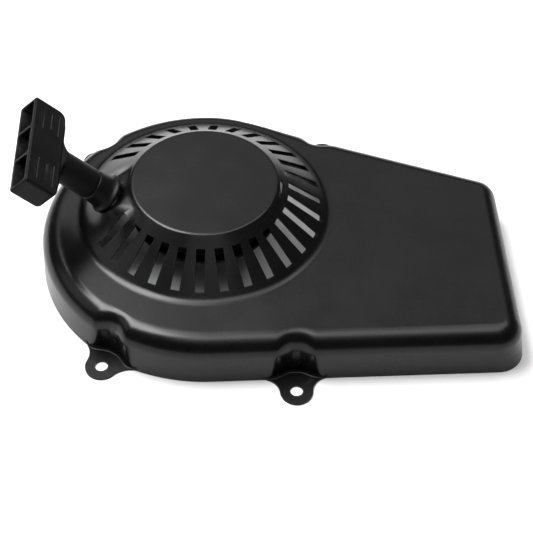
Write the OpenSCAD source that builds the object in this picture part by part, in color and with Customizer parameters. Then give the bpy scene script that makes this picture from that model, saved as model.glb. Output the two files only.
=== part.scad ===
// Recoil (rewind) starter built into the blower housing of a small vertical-shaft engine.
// Frame: +Z up along the crankshaft, origin on the crank axis in the plane of the mounting lugs,
// +X towards the long end of the housing.

/* [Blower housing] */
// Thickness of the pressed steel sheet
sheet_t = 1.2; // [1:0.1:1.4]
// Radius of the round wall at the mounting plane
wall_r = 98.1; // [96:0.1:99]
// Distance of the round wall's centre in front of the crank axis
wall_off = 9.9; // [9:0.1:12]
// Height of the plate above the mounting plane
plate_z = 30.6; // [29:0.2:32]
// Radius of the rounded edge between plate and wall
edge_r = 12; // [10:0.5:14]
// Inward lean of the wall over its height
wall_draft = 0.5; // [0.3:0.1:1.5]
// Extra lean of the end wall
end_draft = 2.2; // [1:0.1:4]
// Distance of the end wall from the crank axis
end_x = 182; // [178:1:186]
// Direction in which the slanted back wall faces
back_a = 67.9; // [66:0.1:69]
// Distance of the slanted back wall from the crank axis
back_d = 87.1; // [86:0.1:88]
// Plan radius of the front end corner
front_corner_r = 16; // [14:1:20]
// Plan radius of the back end corner
back_corner_r = 14; // [13:1:18]

/* [Mounting lugs] */
// Radius of a lug's round end
lug_r = 9.5; // [8.5:0.1:11]
// Radius of the screw hole
lug_hole_r = 3.75; // [3.2:0.05:4.2]
// Reach of a lug along the wall, to each side of its hole
lug_flare = 19.5; // [18:0.5:21]
// Depth of the dent above each lug
dent_depth = 4.8; // [3:0.1:6]
// Width of the dent
dent_w = 30; // [28:1:32]

/* [Cooling cone] */
// Height of the closed disc above the mounting plane
disc_z = 54.6; // [53:0.2:56]
// Radius at which the disc's rim begins to round over
disc_r = 42.2; // [41:0.1:43]
// Radius of the disc's rounded rim
rim_r = 3; // [2.5:0.1:5]
// Slope of the cone
cone_a = 37.2; // [35:0.1:40]
// Radius of the fillet at the foot of the cone
foot_r = 9; // [7:0.5:10]
// Number of cooling slots
slot_n = 26; // [20:1:26]
// Angle between neighbouring slots
slot_step = 11.83; // [11.8:0.01:11.9]
// Direction of the first slot
slot_start = 206.7; // [205:0.1:208]
// Width of a slot
slot_w = 5.2; // [4:0.1:6]
// Radius at which a slot begins
slot_in_r = 50.1; // [49:0.1:53]
// Radius at which a slot ends
slot_out_r = 70; // [68:0.5:71]

/* [Rope guide and grip] */
// Height at which the guide's axis leaves its seat
seat_z = 49; // [48.5:0.1:49.5]
// Distance of the seat from the crank axis
seat_x = 57.5; // [57:0.1:58]
// Sideways shift of the guide
seat_y = -3.3; // [-4:0.1:-3]
// Upward tilt of the guide's axis
guide_a = 43.5; // [42:0.5:45]
// Length of the grip's cross bar
bar_l = 65; // [60:1:70]
// Depth of the cross bar along the pull
bar_d = 22.2; // [20:0.2:24]
// Thickness of the cross bar
bar_t = 15.7; // [14:0.1:17]
// Twist of the grip on its rope
grip_twist = -5; // [-8:1:8]
// Radius of the rope
rope_r = 2; // [1.8:0.1:2]

/* [Winding gear] */
// Radius of the pulley's flanges
pulley_r = 43.5; // [43:0.1:43.5]
// Radius of the spindle
spindle_r = 7; // [6.5:0.1:7]
// Radius of the running gap round the spindle
run_gap = 0.05; // [0.03:0.01:0.08]
// Distance of a pawl's pivot from the crank axis
pawl_pivot_r = 20.5; // [20:0.1:21]
// Thickness of the recoil spring's strip
strip_t = 0.6; // [0.5:0.1:0.8]
// Turns of the recoil spring
spring_turns = 11; // [8:1:12]

/* [Hidden] */
$fn = 96;

black_paint = [0.05, 0.05, 0.055];
black_plastic = [0.07, 0.07, 0.07];
zinc = [0.72, 0.73, 0.75];
spring_steel = [0.42, 0.44, 0.48];
nylon_white = [0.86, 0.85, 0.80];
rope_black = [0.06, 0.06, 0.065];
bronze = [0.72, 0.55, 0.32];

// ---- plan of the wall ----
wall_top_z = plate_z - edge_r;
wall_c = [0, -wall_off];
front_y = -wall_off - wall_r;
back_n = [cos(back_a), sin(back_a)];
back_t = [sin(back_a), -cos(back_a)];
blend_r = 60;
blend_turn = acos((back_d - wall_c * back_n - blend_r) / (wall_r - blend_r));
line_span = 18;
line_steps = 9;
edge_steps = 5;
plate_hub_x = 30;

// ---- mounting lugs: [hole, direction faced, distance of the hole from the wall, 1 on the round wall] ----
function unit(a) = [cos(a), sin(a)];
function on_wall(a, out) = wall_c + (wall_r + out) * unit(a);
front_left_a = 233.594;
front_right_x = 48.4;
back_right_s = 44;
back_left_a = 128.7;
lug_fl = [on_wall(front_left_a, 7.28), front_left_a, 7.28, 1];
lug_fr = [[front_right_x, front_y - 9.4], 270, 9.4, 0];
lug_br = [back_n * (back_d + 12.5) + back_t * back_right_s, back_a, 12.5, 0];
lug_bl = [on_wall(back_left_a, 8.93), back_left_a, 8.93, 1];
LUGS = [lug_fl, lug_fr, lug_br, lug_bl];
dent_flat = 1.5;
dent_top = 0.25;
dent_reach = 45;

function ease(t) = let (u = min(max(t, 0), 1)) u * u * (3 - 2 * u);
function side(v, a) = v[0] * sin(a) - v[1] * cos(a);
function dent_at(s) = dent_depth * (1 - ease((abs(s) - dent_flat) / (dent_w / 2 - dent_flat)));
function dent_of(p, lug) =
  let (v = p - lug[0])
  norm(v) > dent_reach ? [0, 0] : -dent_at(side(v, lug[1])) * unit(lug[1]);
function dented(p, f) =
  p + f * (dent_of(p, LUGS[0]) + dent_of(p, LUGS[1]) + dent_of(p, LUGS[2]) + dent_of(p, LUGS[3]));

function arc(c, r, a0, a1, n) = [for (i = [0:n]) c + r * unit(a0 + (a1 - a0) * i / n)];
function corner_front(d, e) =
  let (r = front_corner_r - d)
  arc([end_x - d - e - r, front_y + d + r], r, -90, 0, 6);
function corner_back(d, e) =
  let (r = back_corner_r - d, x = end_x - d - e - r)
  arc([x, (back_d - d - r - x * back_n[0]) / back_n[1]], r, 0, back_a, 6);
function front_line(d) =
  [for (i = [0:line_steps]) [front_right_x + line_span * (2 * i / line_steps - 1), front_y + d]];
function back_line(d) =
  [for (i = [0:line_steps])
    back_n * (back_d - d) + back_t * (back_right_s + line_span * (1 - 2 * i / line_steps))];
blend_c = wall_c + (wall_r - blend_r) * unit(back_a + blend_turn);

// One closed outline of the wall, shrunk by d all round and by e more at the end, dents scaled by f
function wall_outline(d, e, f) =
  [for (p = concat(
    front_line(d), corner_front(d, e), corner_back(d, e), back_line(d),
    arc(blend_c, blend_r - d, back_a, back_a + blend_turn - 4, 4),
    arc(wall_c, wall_r - d, back_a + blend_turn, 270, 62))) dented(p, f)];

function lift(outline, z) = [for (p = outline) [p[0], p[1], z]];

// Where the cone's foot runs out on the plate, and how far the rounded edge keeps clear of it
cone_foot_x = disc_r + rim_r * sin(cone_a) + (disc_z - plate_z - rim_r * (1 - cos(cone_a))) / tan(cone_a)
  + foot_r * tan(cone_a / 2);
flange_w = 1.5;
edge_in_r = cone_foot_x + flange_w + 0.1;
function keep_out(v, a, k) =
  let (r = edge_in_r + (back_d - wall_draft - edge_in_r) * (1 - sin(a)) - k * cos(a))
  [for (p = v) norm(p) < r ? p * (r / norm(p)) : p];

// Rings of one face of the sheet, k in from the outside: the wall, then the rounded edge
function skin_rings(k) = concat(
  [lift(wall_outline(k, 0, 1), 0)],
  [for (i = [0:edge_steps])
    let (a = 90 * i / edge_steps, rise = edge_r - k)
    lift(keep_out(wall_outline(wall_draft + edge_r - rise * cos(a), end_draft,
                               1 - (1 - dent_top) * i / edge_steps), a, k),
         wall_top_z + rise * sin(a))]);

// Faces between two neighbouring rings of n points that start at point s
function band(s, n, flip) = [for (i = [0:n - 1])
  let (j = (i + 1) % n)
  each flip ? [[s + i, s + n + j, s + j], [s + i, s + n + i, s + n + j]]
            : [[s + i, s + j, s + n + j], [s + i, s + n + j, s + n + i]]];

module wall_shell() {
  outer = skin_rings(0);
  inner = skin_rings(sheet_t);
  n = len(outer[0]);
  m = len(outer);
  half = n * m;
  outer_bands = [for (k = [0:m - 2]) each band(k * n, n, true)];
  inner_bands = [for (k = [0:m - 2]) each band(half + k * n, n, false)];
  rim = [for (i = [0:n - 1])
    let (j = (i + 1) % n)
    each [[i, j, half + j], [i, half + j, half + i]]];
  top = [for (i = [0:n - 1]) [half - n + (i + 1) % n, half - n + i, 2 * half]];
  under = [for (i = [0:n - 1]) [2 * half - n + i, 2 * half - n + (i + 1) % n, 2 * half + 1]];
  polyhedron(
    points = concat([for (r = outer) each r], [for (r = inner) each r],
                    [[plate_hub_x, -wall_off, plate_z], [plate_hub_x, -wall_off, plate_z - sheet_t]]),
    faces = concat(outer_bands, inner_bands, rim, top, under),
    convexity = 8);
}

// ---- cone: line of one face of the sheet, k in from the outside ----
rim_end = [disc_r + rim_r * sin(cone_a), disc_z - rim_r * (1 - cos(cone_a))];
function cone_line(k) = concat(
  arc([disc_r, disc_z - rim_r], rim_r - k, 90, 90 - cone_a, 3),
  arc([cone_foot_x, plate_z + foot_r], foot_r + k, 270 - cone_a, 270, 5),
  [[cone_foot_x + flange_w, plate_z - k]]);
function reversed(v) = [for (i = [len(v) - 1:-1:0]) v[i]];

module cone_sheet() {
  rotate_extrude()
    polygon(concat([[0, disc_z]], cone_line(0), reversed(cone_line(sheet_t)), [[0, disc_z - sheet_t]]));
}

module cooling_slots() {
  for (i = [0:slot_n - 1])
    rotate(slot_start + slot_step * i)
      translate([slot_in_r, -slot_w / 2, plate_z])
        cube([slot_out_r - slot_in_r, slot_w, disc_z]);
}

// ---- places along the guide's axis ----
module at_guide() {
  translate([-seat_x, seat_y, seat_z])
    rotate([0, guide_a - 90, 0])
      children();
}
guide_dir = [-cos(guide_a), 0, sin(guide_a)];
seat = [-seat_x, seat_y, seat_z];
boss_r = 14;
boss_foot_r = 17;
boss_h = 7;
guide_hole_r = 7.2;
guide_tip = 12.7;
guide_mouth = -11;
clip_top = 52.3;
bar_start = 40.3;
bar_end = bar_start + bar_d;

boss_top = disc_z - 0.6;
well_r = 12.5;
well_depth = 16;

module boss(k) {
  intersection() {
    at_guide()
      translate([0, 0, -boss_h])
        cylinder(r1 = boss_foot_r - k, r2 = boss_r - k, h = boss_h - k);
    cylinder(r = wall_r, h = boss_top - k);
  }
}

// Clears the cone's own sheet away from under the boss
module boss_well() {
  intersection() {
    at_guide()
      translate([0, 0, -well_depth])
        cylinder(r = well_r, h = well_depth - sheet_t);
    cylinder(r = wall_r, h = boss_top - sheet_t);
  }
}

// ---- slot for the end of the recoil spring ----
spring_slot_r = 45.8;
spring_slot_w = 1.4;
spring_slot_l = 14;
spring_slot_a = -8;

module spring_slot() {
  rotate(spring_slot_a)
    translate([spring_slot_r - spring_slot_w / 2, -spring_slot_l / 2, disc_z - 5])
      cube([spring_slot_w, spring_slot_l, 10]);
}

// Plan of one lug, in a frame with the hole at the origin and the wall towards -X
lug_wall_depth = 0.7;
flare_end_a = 188;
function lug_fillet(reach) =
  (lug_flare * lug_flare + reach * reach - lug_r * lug_r) / (2 * (reach + lug_r));
function lug_plan(reach) =
  let (f = lug_fillet(reach), c = [f - reach, lug_flare], meet = atan2(c[1], c[0]),
       flank = arc(c, f, meet + 180, flare_end_a, 6))
  concat(
    arc([0, 0], lug_r, -meet, meet, 12),
    [for (i = [1:len(flank) - 1]) flank[i]],
    [for (s = [15:-3:-15]) [-reach - dent_at(s) - lug_wall_depth, s]],
    [for (i = [len(flank) - 1:-1:1]) [flank[i][0], -flank[i][1]]]);
// Follows the round wall, which falls away from a lug's two ends
function lug_bow(p, lug) =
  [p[0] - lug[3] * (wall_r - sqrt(wall_r * wall_r - p[1] * p[1])) * ease(-p[0] / lug[2]), p[1]];

module lug_plate(lug) {
  translate([lug[0][0], lug[0][1], 0])
    rotate(lug[1])
      linear_extrude(height = sheet_t + 0.2)
        polygon([for (p = lug_plan(lug[2])) lug_bow(p, lug)]);
}

module lug_hole(lug) {
  translate([lug[0][0], lug[0][1], -1])
    cylinder(r = lug_hole_r, h = 5);
}

module blower_housing() {
  color(black_paint)
    difference() {
      union() {
        difference() {
          wall_shell();
          translate([0, 0, plate_z - 5])
            cylinder(r = cone_foot_x + flange_w - 0.8, h = 10);
        }
        difference() {
          union() {
            cone_sheet();
            boss(0);
          }
          boss(sheet_t);
          boss_well();
          cooling_slots();
          spring_slot();
          at_guide()
            translate([0, 0, -20])
              cylinder(r = guide_hole_r, h = 30);
        }
        for (lug = LUGS)
          lug_plate(lug);
      }
      for (lug = LUGS)
        lug_hole(lug);
    }
}

// ---- levels of the winding gear, from the disc down ----
roof_z = disc_z - sheet_t;
case_wall_r = 41;
case_flange_r = 43.3;
case_t = 1;
cover_top = 43.4;
cover_t = 0.8;
pulley_top = 42;
groove_top = 40.4;
groove_bottom = 31.6;
pulley_bottom = 29.5;
boss_bottom = 24.6;
hub_top = 51;
hub_r = 12;
bush_r = 8.5;
core_r = 30;
spindle_bottom = 17;
spindle_flange_r = 15;
spindle_flange_t = 1.2;
thread_r = 2.6;

module tube(r_out, r_in, h) {
  difference() {
    cylinder(r = r_out, h = h);
    translate([0, 0, -1])
      cylinder(r = r_in, h = h + 2);
  }
}

module spindle() {
  color(zinc)
    difference() {
      union() {
        translate([0, 0, spindle_bottom])
          cylinder(r = spindle_r, h = roof_z - spindle_bottom);
        translate([0, 0, roof_z - spindle_flange_t])
          cylinder(r = spindle_flange_r, h = spindle_flange_t);
      }
      translate([0, 0, spindle_bottom - 1])
        cylinder(r = thread_r, h = 19);
    }
}

// ---- recoil spring and its case ----
rivet_n = 3;
rivet_ring_r = 42.2;
rivet_r = 0.6;
tail_a = spring_slot_a;
tail_half_a = 7;

module rivet_holes() {
  for (i = [0:rivet_n - 1])
    rotate(60 + 360 * i / rivet_n)
      translate([rivet_ring_r, 0, cover_top - 5])
        cylinder(r = rivet_r, h = 10, $fn = 24);
}

gate_l = 16;
module tail_gate(h) {
  rotate(tail_a)
    translate([case_wall_r - 3, -gate_l / 2, cover_top + case_t])
      cube([6, gate_l, h]);
}

module spring_case() {
  color(zinc)
    difference() {
      union() {
        translate([0, 0, roof_z - case_t])
          tube(case_wall_r, spindle_flange_r + 0.3, case_t);
        translate([0, 0, cover_top])
          tube(case_wall_r, case_wall_r - case_t, roof_z - cover_top);
        translate([0, 0, cover_top])
          tube(case_flange_r, case_wall_r - case_t, case_t);
      }
      rivet_holes();
      tail_gate(10);
    }
}

module spring_cover() {
  color(zinc)
    difference() {
      translate([0, 0, cover_top - cover_t])
        tube(case_flange_r, hub_r + 0.8, cover_t);
      rivet_holes();
    }
}

module case_rivets() {
  color(spring_steel)
    for (i = [0:rivet_n - 1])
      rotate(60 + 360 * i / rivet_n)
        translate([rivet_ring_r, 0, 0]) {
          translate([0, 0, cover_top - cover_t])
            cylinder(r = rivet_r, h = cover_t + case_t, $fn = 24);
          translate([0, 0, cover_top + case_t])
            cylinder(r = 1, h = 0.5, $fn = 24);
          translate([0, 0, cover_top - cover_t - 0.3])
            cylinder(r = 1, h = 0.3, $fn = 24);
        }
}

strip_bottom = 44.4;
strip_top = 51.4;
tab_l = 7;
tab_top = 53.4;
spring_in_r = 13.2;
spring_out_r = 39.2;
spiral_steps = 24;
spiral_n = spring_turns * spiral_steps;
function spiral_r(i) = spring_in_r + (spring_out_r - spring_in_r) * i / spiral_n;
function spiral_a(i) = tail_a - tail_half_a + 360 * (i - spiral_n) / spiral_steps;
function spiral_side(k) =
  [for (i = [0:spiral_n]) (spiral_r(i) + k * strip_t / 2) * unit(spiral_a(i))];

// Strip wound into a flat spiral; its outer end steps out of the case and up through the housing
module recoil_spring() {
  color(spring_steel) {
    translate([0, 0, strip_bottom])
      linear_extrude(height = strip_top - strip_bottom)
        polygon(concat(spiral_side(1), reversed(spiral_side(-1))));
    translate([0, 0, strip_bottom])
      linear_extrude(height = strip_top - strip_bottom)
        polygon(tail_plan());
    rotate(spring_slot_a)
      translate([spring_slot_r - strip_t / 2, -tab_l / 2, strip_top - 1])
        cube([strip_t, tab_l, tab_top - strip_top + 1]);
  }
}

function tail_r(t) = spring_out_r + (spring_slot_r - spring_out_r) * ease(t);
function tail_line(k) = [for (i = [0:8])
  let (a = tail_a - tail_half_a - 1 + (2 * tail_half_a) * i / 8)
  (tail_r(i / 6) + k * strip_t / 2) * unit(a)];
function tail_plan() = concat(tail_line(1), reversed(tail_line(-1)));

// ---- rope guide ----
module rope_guide() {
  color(black_plastic)
    at_guide()
      rotate_extrude()
        polygon([
          [3.6, guide_tip - 2], [3.6, -4], [4.2, -6.5], [5.2, -9], [6.3, guide_mouth],
          [7, guide_mouth + 0.4], [7, 0.1], [12.3, 0.1], [12.3, 1.4], [11.6, 2.2], [10.4, 2.8],
          [9.9, 4], [9.6, guide_tip - 0.6], [9, guide_tip], [5.2, guide_tip], [5.2, guide_tip - 2]]);
}

module guide_eyelet() {
  color(zinc)
    at_guide()
      rotate_extrude()
        polygon([
          [2.8, -3.8], [3.6, -3.8], [3.6, guide_tip - 2], [5.1, guide_tip - 2],
          [5.1, guide_tip - 1], [4.6, guide_tip - 0.4], [3.6, guide_tip - 0.6], [2.8, guide_tip - 1.6]]);
}

module guide_clip() {
  color(spring_steel)
    intersection() {
      at_guide()
        translate([0, 0, -sheet_t - 0.9])
          tube(10.5, 7.05, 0.8);
      cylinder(r = wall_r, h = clip_top);
    }
}

// ---- pulley ----
module pawl_places() {
  for (i = [0:1])
    rotate(180 * i)
      children();
}
pin_r = 2.5;
knot_pocket_a = 200;
knot_pocket_r = 25.5;
window_n = 6;
window_in_r = 18;
window_l = 9;
window_w = 6;
window_floor = 5;

module pulley() {
  color(black_plastic)
    difference() {
      union() {
        translate([0, 0, groove_top])
          cylinder(r = pulley_r, h = pulley_top - groove_top);
        translate([0, 0, pulley_bottom])
          cylinder(r = pulley_r, h = groove_bottom - pulley_bottom);
        translate([0, 0, pulley_bottom])
          cylinder(r = core_r, h = pulley_top - pulley_bottom);
        translate([0, 0, boss_bottom])
          cylinder(r = 14, h = 10);
        translate([0, 0, pulley_top - 1])
          cylinder(r = hub_r, h = hub_top - pulley_top + 1);
        pawl_places()
          translate([post_place[0], post_place[1], pawl_bottom + 0.6])
            cylinder(r = post_r, h = pulley_bottom - pawl_bottom, $fn = 32);
      }
      translate([0, 0, boss_bottom - 1])
        cylinder(r = bush_r, h = 40);
      pawl_places()
        translate([pawl_pivot_r, 0, pulley_bottom - 1])
          cylinder(r = pin_r, h = 6);
      for (i = [0:window_n - 1])
        rotate(30 + 360 * i / window_n)
          translate([window_in_r, -window_w / 2, pulley_bottom + window_floor])
            cube([window_l, window_w, 20]);
      rotate(knot_pocket_a)
        translate([knot_pocket_r, 0, groove_bottom + 4.4])
          rotate([0, 90, 0])
            cylinder(r = rope_r + 0.3, h = 8);
      rotate(knot_pocket_a)
        translate([knot_pocket_r, 0, pulley_bottom - 1])
          cylinder(r = 4, h = 10);
      rotate(80)
        translate([hub_r - 1.6, -0.9, pulley_top + 1.4])
          cube([3, 1.8, 12]);
    }
}

module pulley_bushing() {
  color(bronze)
    translate([0, 0, boss_bottom])
      tube(bush_r, spindle_r + run_gap, hub_top - boss_bottom);
}

// ---- rope ----
layer_r = core_r + rope_r + 0.1;
layer_step = 2 * rope_r - 0.1;
wind_top = groove_top - 0.2;
wind_bottom = groove_bottom + 0.2;
wind_mid = (wind_top + wind_bottom) / 2;
outer_layer_r = layer_r + layer_step;
function winding_bump(z) =
  [for (a = [-75:15:75]) [outer_layer_r + rope_r * cos(a), z + rope_r * sin(a)]];

module rope_winding() {
  color(rope_black)
    rotate_extrude()
      polygon(concat(
        [[core_r + 0.05, wind_bottom]],
        winding_bump(wind_bottom + 2.1),
        winding_bump(wind_top - 2.1),
        [[core_r + 0.05, wind_top]]));
}

module rope_knot() {
  color(rope_black)
    rotate(knot_pocket_a)
      translate([knot_pocket_r, 0, groove_bottom + 2])
        sphere(r = 3.2, $fn = 32);
}

// Route: off the top of the outer layer, up to the guide's mouth, then out along the guide
bend_s = -15.5;
bend = seat + bend_s * guide_dir;
bend_a = atan2(bend[1], bend[0]);
bend_dist = norm([bend[0], bend[1]]);
leave_r = outer_layer_r + 2 * rope_r + 0.3;
leave_a = bend_a + acos(leave_r / bend_dist);
leave = [leave_r * cos(leave_a), leave_r * sin(leave_a), wind_mid - 0.4];
in_dir = (bend - leave) / norm(bend - leave);
bend_len = 9;
bend_from = bend - bend_len * in_dir;
bend_to = bend + bend_len * guide_dir;
function bezier(a, b, c, t) = (1 - t) * (1 - t) * a + 2 * t * (1 - t) * b + t * t * c;
rope_end = 47;
ROPE = concat(
  [leave + 1.5 * in_dir, (leave + bend_from) / 2],
  [for (i = [0:8]) bezier(bend_from, bend, bend_to, i / 8)],
  [for (s = [0:8:40]) seat + s * guide_dir],
  [seat + rope_end * guide_dir]);

function cross_unit(a, b) = let (c = cross(a, b)) c / norm(c);
function route_dir(v, i) =
  let (d = v[min(i + 1, len(v) - 1)] - v[max(i - 1, 0)]) d / norm(d);
// Ring of a swept tube: up is a direction that is never along the route
function tube_ring(v, i, r, n, up) =
  let (t = route_dir(v, i), u = cross_unit(t, up), w = cross(t, u))
  [for (k = [0:n - 1]) v[i] + r * (cos(360 * k / n) * u + sin(360 * k / n) * w)];

module swept_tube(v, r, n, up) {
  m = len(v);
  polyhedron(
    points = [for (i = [0:m - 1]) each tube_ring(v, i, r, n, up)],
    faces = concat(
      [for (i = [0:m - 2]) each band(i * n, n, false)],
      [[for (k = [0:n - 1]) n - 1 - k]],
      [[for (k = [0:n - 1]) (m - 1) * n + k]]),
    convexity = 6);
}

module rope_strand() {
  color(rope_black)
    swept_tube(ROPE, rope_r, 12, [0.3, 1, 0.2]);
}

// ---- grip ----
neck_r = 9.3;
wall_grip = 2.3;
rib_t = 1.8;
pocket_l = (bar_l - 2 * wall_grip - 2 * rib_t) / 3;
pocket_depth = 17;
groove_d = 0.5;
knot_r = 3.6;

// Cross bar in plan, seen along its thickness: rounded more at the two neck-side corners
function bar_plan() = concat(
  arc([-bar_l / 2 + 5, bar_start + 5], 5, 180, 270, 6),
  arc([bar_l / 2 - 5, bar_start + 5], 5, 270, 360, 6),
  arc([bar_l / 2 - 1.5, bar_end - 1.5], 1.5, 0, 90, 4),
  arc([-bar_l / 2 + 1.5, bar_end - 1.5], 1.5, 90, 180, 4));

module at_grip() {
  at_guide()
    rotate(grip_twist)
      children();
}

module grip_pockets() {
  for (i = [-1:1])
    translate([-bar_t / 2 + wall_grip, i * (pocket_l + rib_t) - pocket_l / 2, bar_end - pocket_depth])
      cube([bar_t - 2 * wall_grip, pocket_l, pocket_depth + 1]);
}

module grip_grooves() {
  for (face = [-1, 1])
    for (half = [-1, 1])
      for (i = [0:2])
        translate([face * bar_t / 2, half * 19 - 8, bar_start + 4.5 + 5.5 * i])
          translate([-groove_d, i == 1 ? 2.5 : 0, 0])
            cube([2 * groove_d, i == 1 ? 12 : 16, 0.8]);
}

module grip() {
  color(black_plastic)
    at_grip()
      difference() {
        union() {
          rotate([90, 0, 90])
            translate([0, 0, -bar_t / 2])
              linear_extrude(height = bar_t)
                polygon(bar_plan());
          translate([0, 0, guide_tip + 0.1])
            cylinder(r = neck_r, h = bar_start - guide_tip + 2, $fn = 64);
        }
        grip_pockets();
        grip_grooves();
        translate([0, 0, guide_tip - 1])
          cylinder(r = rope_r + 0.4, h = 40);
        translate([0, 0, guide_tip - 1])
          cylinder(r1 = 6.6, r2 = 3.4, h = 4);
      }
}

module grip_insert() {
  color(zinc)
    at_grip()
      translate([0, 0, bar_end - pocket_depth])
        tube(5.3, rope_r + 0.3, 1.4);
}

module grip_knot() {
  color(rope_black)
    at_grip()
      translate([0, 0, bar_end - pocket_depth + 1.5 + knot_r])
        sphere(r = knot_r, $fn = 32);
}

// ---- ratchet ----
pawl_t = 4.6;
pawl_bottom = 24.7;
pawl_end_r = 4.6;
plate_r = 27;
plate_bottom = 22;
plate_t = 1.6;
peg_r = 1.4;
peg_gap = 0.6;
peg_place = [-3, -7.5];
pawl_swing = 20;
plate_swing = 25;

module pawl_pins() {
  color(zinc)
    pawl_places()
      translate([pawl_pivot_r, 0, 0]) {
        translate([0, 0, pawl_bottom - 0.7])
          cylinder(r = pin_r, h = pulley_bottom + 5 - pawl_bottom + 0.7, $fn = 48);
        translate([0, 0, pawl_bottom - 0.9])
          cylinder(r = 3.2, h = 0.8, $fn = 48);
      }
}

// A pawl lies folded along the pulley; its nose swings outwards about the pin
module pawl_shape() {
  translate([pawl_pivot_r, 0, 0]) {
    difference() {
      translate([0, 0, pawl_bottom])
        union() {
          cylinder(r = pawl_end_r, h = pawl_t, $fn = 64);
          linear_extrude(height = pawl_t)
            polygon([
              [-4.4, 1.2], [-pawl_end_r, -1.5], [-4.5, -11.5], [-2.8, -14.8], [1.2, -15.4],
              [3.8, -10.5], [4.5, -1]]);
        }
      translate([0, 0, pawl_bottom - 1])
        cylinder(r = pin_r + run_gap, h = pawl_t + 2);
    }
    translate([peg_place[0], peg_place[1], pawl_bottom - 2.2])
      cylinder(r = peg_r, h = 2.3, $fn = 32);
  }
}

module pawl_front() {
  color(spring_steel)
    pawl_shape();
}

module pawl_rear() {
  color(spring_steel)
    rotate(180)
      pawl_shape();
}

// Light wire coil that folds each pawl back, on a post under the pulley, with a leg to the pawl's end
function helix(r, pitch, turns, z0, n) =
  [for (i = [0:n]) let (a = 360 * turns * i / n) [r * cos(a), r * sin(a), z0 + pitch * turns * i / n]];
post_place = [14.4, 9.4];
post_r = 1.1;
coil_r = 1.6;
coil_wire_r = 0.3;

module pawl_springs() {
  color(zinc)
    pawl_places()
      translate([post_place[0], post_place[1], pawl_bottom + 0.9])
        swept_tube(
          concat([[coil_r, -4.6, 0], [coil_r, -1.6, 0]], helix(coil_r, 0.9, 3, 0, 36)),
          coil_wire_r, 8, [0, 0, 1]);
}

module thrust_washer() {
  color(nylon_white)
    translate([0, 0, plate_bottom + plate_t + 0.1])
      tube(11.5, spindle_r + 0.1, 0.8);
}

// Where a pawl's peg stands on the friction plate once the plate has turned a share f of its swing
function turned(p, a) = [p[0] * cos(a) - p[1] * sin(a), p[0] * sin(a) + p[1] * cos(a)];
function peg_at(f) =
  turned([pawl_pivot_r, 0] + turned(peg_place, pawl_swing * f), -plate_swing * f);
slot_steps = 6;
peg_track = [for (i = [0:slot_steps]) peg_at(i / slot_steps)];
function track_side(k) = [for (i = [0:slot_steps])
  let (d = peg_track[min(i + 1, slot_steps)] - peg_track[max(i - 1, 0)])
  peg_track[i] + k * (peg_r + peg_gap) * [d[1], -d[0]] / norm(d)];

module peg_slot() {
  linear_extrude(height = 4)
    polygon(concat(track_side(1), reversed(track_side(-1))));
  for (p = [peg_track[0], peg_track[slot_steps]])
    translate([p[0], p[1], 0])
      cylinder(r = peg_r + peg_gap, h = 4, $fn = 48);
}

// Plate that drags behind the pulley and cams the pawls out through its two slots
module friction_plate() {
  color(zinc)
    translate([0, 0, plate_bottom])
      difference() {
        cylinder(r = plate_r, h = plate_t);
        translate([0, 0, -1])
          cylinder(r = spindle_r + 0.1, h = 4);
        pawl_places()
          translate([0, 0, -1])
            peg_slot();
      }
}

brake_r = 9.4;
brake_wire_r = 0.6;
brake_pitch = 1.45;
brake_turns = 2.2;
module brake_spring() {
  color(spring_steel)
    swept_tube(helix(brake_r, brake_pitch, brake_turns, spindle_bottom + brake_wire_r + 0.1, 54),
               brake_wire_r, 8, [0, 0, 1]);
}

module screw_washer() {
  color(zinc)
    translate([0, 0, spindle_bottom - 1.4])
      tube(11.5, 3.2, 1.4);
}

module center_screw() {
  color(zinc) {
    translate([0, 0, spindle_bottom - 2.6])
      cylinder(r = 7, h = 1.2);
    translate([0, 0, spindle_bottom - 7.4])
      cylinder(r = 5.77, h = 4.9, $fn = 6);
    translate([0, 0, spindle_bottom - 2.6])
      cylinder(r = thread_r - 0.1, h = 16, $fn = 48);
  }
}

blower_housing();
spindle();
spring_case();
spring_cover();
case_rivets();
recoil_spring();
rope_guide();
guide_eyelet();
guide_clip();
pulley();
pulley_bushing();
rope_winding();
rope_strand();
rope_knot();
grip();
grip_insert();
grip_knot();
pawl_pins();
pawl_front();
pawl_rear();
pawl_springs();
thrust_washer();
friction_plate();
brake_spring();
screw_washer();
center_screw();
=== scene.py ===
"""Looks of the recoil starter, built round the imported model.

Lengths are in millimetres until a mesh is made.
"""
import math
from contextlib import contextmanager

import bmesh
import bpy
import numpy as np
from mathutils import Matrix, Vector


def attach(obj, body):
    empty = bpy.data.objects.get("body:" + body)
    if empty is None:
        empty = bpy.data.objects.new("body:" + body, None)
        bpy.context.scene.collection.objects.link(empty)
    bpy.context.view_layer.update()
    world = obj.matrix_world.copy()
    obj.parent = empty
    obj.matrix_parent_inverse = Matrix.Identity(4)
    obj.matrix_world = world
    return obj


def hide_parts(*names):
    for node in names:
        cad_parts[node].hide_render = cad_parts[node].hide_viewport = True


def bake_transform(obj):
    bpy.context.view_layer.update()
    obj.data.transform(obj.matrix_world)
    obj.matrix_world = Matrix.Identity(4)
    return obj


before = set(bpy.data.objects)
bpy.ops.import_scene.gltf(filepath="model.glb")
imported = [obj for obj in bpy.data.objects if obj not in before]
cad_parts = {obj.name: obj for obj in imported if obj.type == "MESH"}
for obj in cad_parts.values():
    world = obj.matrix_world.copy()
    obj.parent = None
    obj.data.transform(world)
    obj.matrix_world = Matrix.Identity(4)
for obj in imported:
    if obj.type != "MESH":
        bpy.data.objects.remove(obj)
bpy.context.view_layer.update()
MM = 0.001


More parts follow.
